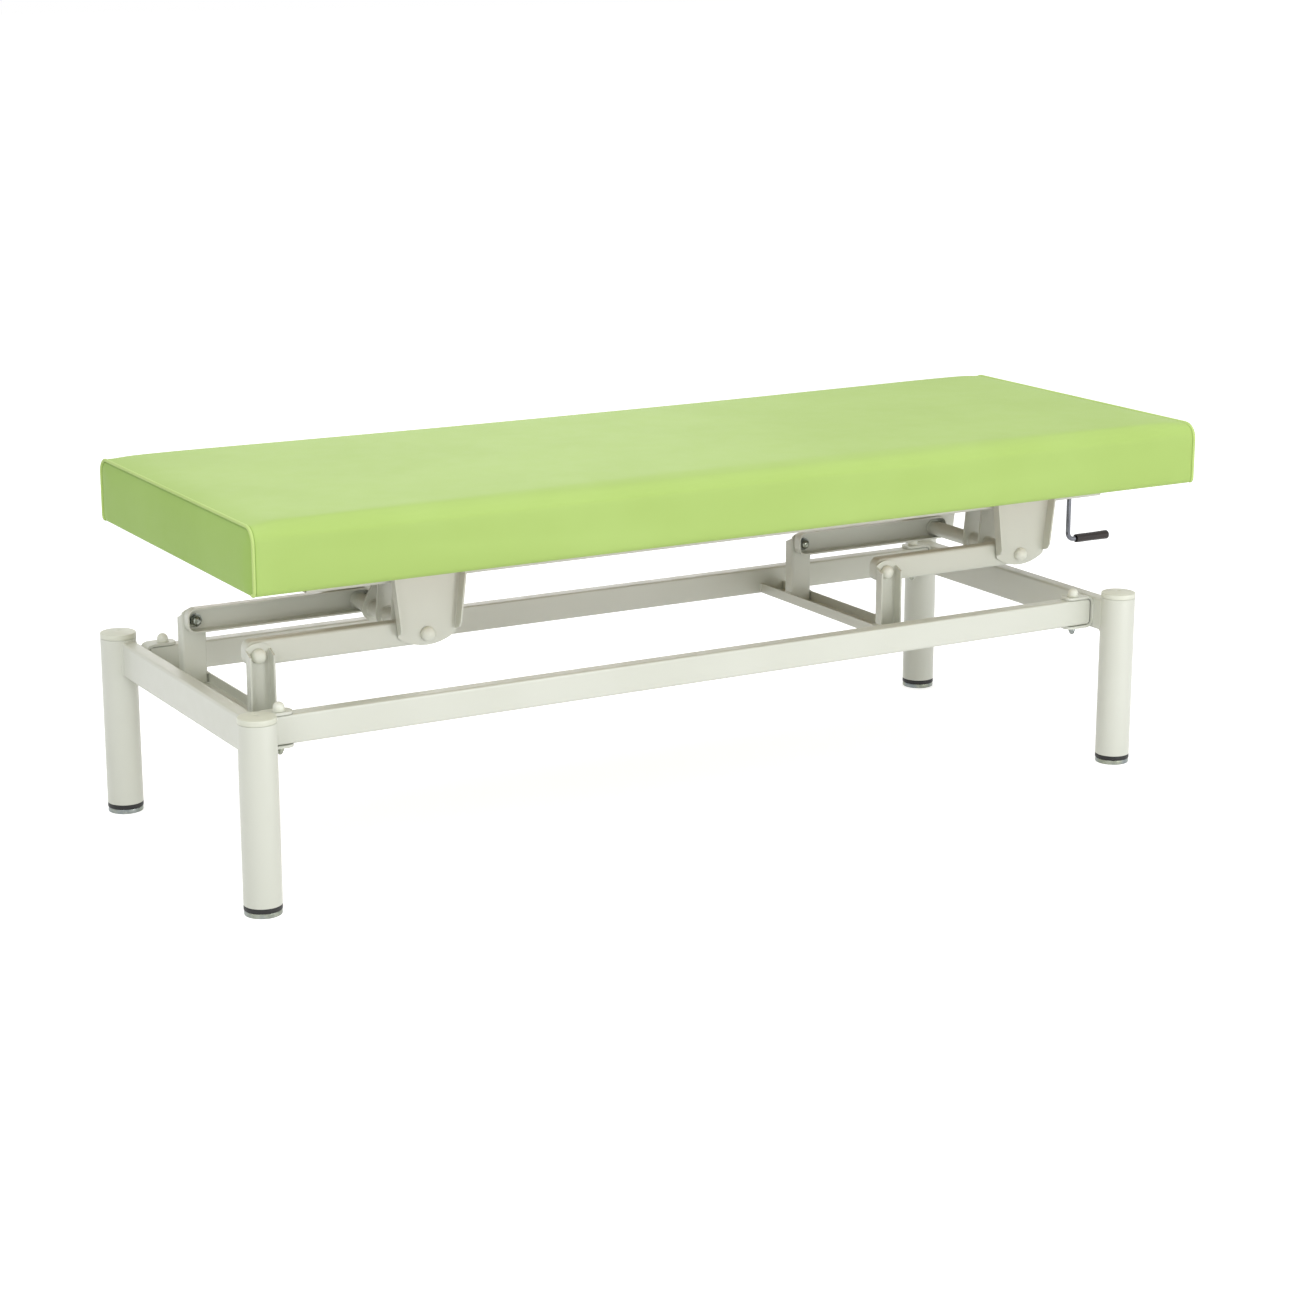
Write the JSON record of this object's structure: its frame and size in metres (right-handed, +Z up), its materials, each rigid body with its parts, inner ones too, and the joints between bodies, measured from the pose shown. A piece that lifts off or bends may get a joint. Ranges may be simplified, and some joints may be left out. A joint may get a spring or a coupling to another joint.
{
  "type": "examination table",
  "caption": "Padded examination table on round legs; a foot-end crank raises its level top on parallel links.",
  "frame": {"origin": "on the floor, midway between the four legs", "axes": "+X along the table to the crank end, +Y across it to the back side, +Z up"},
  "size_m": [2.0262, 0.7046, 0.645],
  "materials": {
    "frame_paint": "ivory powder coat, satin",
    "green_vinyl": "light green upholstery vinyl over foam",
    "plywood": "plywood board",
    "zinc_plate": "bright zinc plate",
    "machined_steel": "machined steel, greased",
    "chrome": "polished chrome",
    "black_plastic": "matte black plastic",
    "white_plastic": "off-white moulded plastic",
    "brown_plastic": "dark brown moulded plastic"
  },
  "bodies": {
    "base": {"leg_head_front": "frame_paint", "leg_head_back": "frame_paint", "leg_foot_front": "frame_paint", "leg_foot_back": "frame_paint", "leg_cap_head_front": "white_plastic", "leg_cap_head_back": "white_plastic", "leg_cap_foot_front": "white_plastic", "leg_cap_foot_back": "white_plastic", "foot_insert_head_front": "black_plastic", "foot_insert_head_back": "black_plastic", "foot_insert_foot_front": "black_plastic", "foot_insert_foot_back": "black_plastic", "end_rail_head": "frame_paint", "end_rail_foot": "frame_paint", "side_rail_front": "frame_paint", "side_rail_back": "frame_paint", "post_tie_head": "frame_paint", "post_tie_foot": "frame_paint", "post_head_front": "frame_paint", "post_head_back": "frame_paint", "post_foot_front": "frame_paint", "post_foot_back": "frame_paint", "rail_bolt_head_front": "zinc_plate", "rail_bolt_head_back": "zinc_plate", "rail_bolt_foot_front": "zinc_plate", "rail_bolt_foot_back": "zinc_plate", "lower_pivot_bolt_head_front": "zinc_plate", "lower_pivot_bolt_head_back": "zinc_plate", "lower_pivot_bolt_foot_front": "zinc_plate", "lower_pivot_bolt_foot_back": "zinc_plate"},
    "links_head": {"link_head_front": "frame_paint", "link_head_back": "frame_paint", "torsion_shaft_head": "frame_paint"},
    "links_foot": {"link_foot_front": "frame_paint", "link_foot_back": "frame_paint", "torsion_shaft_foot": "frame_paint"},
    "top": {"hanger_head_front": "frame_paint", "hanger_head_back": "frame_paint", "hanger_foot_front": "frame_paint", "hanger_foot_back": "frame_paint", "upper_pivot_bolt_head_front": "zinc_plate", "upper_pivot_bolt_head_back": "zinc_plate", "upper_pivot_bolt_foot_front": "zinc_plate", "upper_pivot_bolt_foot_back": "zinc_plate", "frame_beam_front": "frame_paint", "frame_beam_back": "frame_paint", "crossbar_head": "frame_paint", "crossbar_middle": "frame_paint", "crossbar_foot": "frame_paint", "top_board": "plywood", "cushion": "green_vinyl"},
    "drive_nut": {"drive_nut": "machined_steel"},
    "crank": {"screw_shaft": "machined_steel", "crank_rod": "chrome"},
    "grip": {"crank_grip": "brown_plastic"},
    "tie_rod": {"tie_rod": "machined_steel"},
    "glide_head_front": {"foot_glide_head_front": "zinc_plate"},
    "glide_head_back": {"foot_glide_head_back": "zinc_plate"},
    "glide_foot_front": {"foot_glide_foot_front": "zinc_plate"},
    "glide_foot_back": {"foot_glide_foot_back": "zinc_plate"}
  },
  "joints": [
    {"name": "lift", "type": "hinge", "parent": "base", "child": "links_head", "pos_m": [-0.791, 0, 0.38], "axis": [0, -1, 0], "range_deg": [0, 52]},
    {"name": "foot_links", "type": "hinge", "parent": "base", "child": "links_foot", "pos_m": [0.459, 0, 0.38], "axis": [0, -1, 0], "range_deg": [0, 52]},
    {"name": "top_level", "type": "hinge", "parent": "links_head", "child": "top", "pos_m": [-0.483, 0, 0.38], "axis": [0, -1, 0], "range_deg": [-52, 0]},
    {"name": "tie_rod_swing", "type": "hinge", "parent": "links_head", "child": "tie_rod", "pos_m": [-0.483, -0.019, 0.465], "axis": [0, -1, 0], "range_deg": [-52, 0]},
    {"name": "nut_travel", "type": "slide", "parent": "top", "child": "drive_nut", "axis": [-1, 0, 0], "range_m": [0, 0.08984]},
    {"name": "crank_turn", "type": "hinge", "parent": "top", "child": "crank", "pos_m": [1.028, 0.04, 0.472], "axis": [-1, 0, 0], "range_deg": [0, 6462]},
    {"name": "grip_spin", "type": "hinge", "parent": "crank", "child": "grip", "pos_m": [1.047, 0.04, 0.346], "axis": [1, 0, 0], "continuous": true},
    {"name": "level_head_front", "type": "slide", "parent": "base", "child": "glide_head_front", "axis": [0, 0, -1], "range_m": [0, 0.012]},
    {"name": "level_head_back", "type": "slide", "parent": "base", "child": "glide_head_back", "axis": [0, 0, -1], "range_m": [0, 0.012]},
    {"name": "level_foot_front", "type": "slide", "parent": "base", "child": "glide_foot_front", "axis": [0, 0, -1], "range_m": [0, 0.012]},
    {"name": "level_foot_back", "type": "slide", "parent": "base", "child": "glide_foot_back", "axis": [0, 0, -1], "range_m": [0, 0.012]}
  ],
  "couplings": [
    {"joint": "foot_links", "follows": "lift", "ratio": 1},
    {"joint": "top_level", "follows": "lift", "ratio": -1},
    {"joint": "tie_rod_swing", "follows": "lift", "ratio": -1},
    {"joint": "nut_travel", "follows": "lift", "m_per_rad": 0.098882},
    {"joint": "crank_turn", "follows": "lift", "ratio": 124.26}
  ]
}
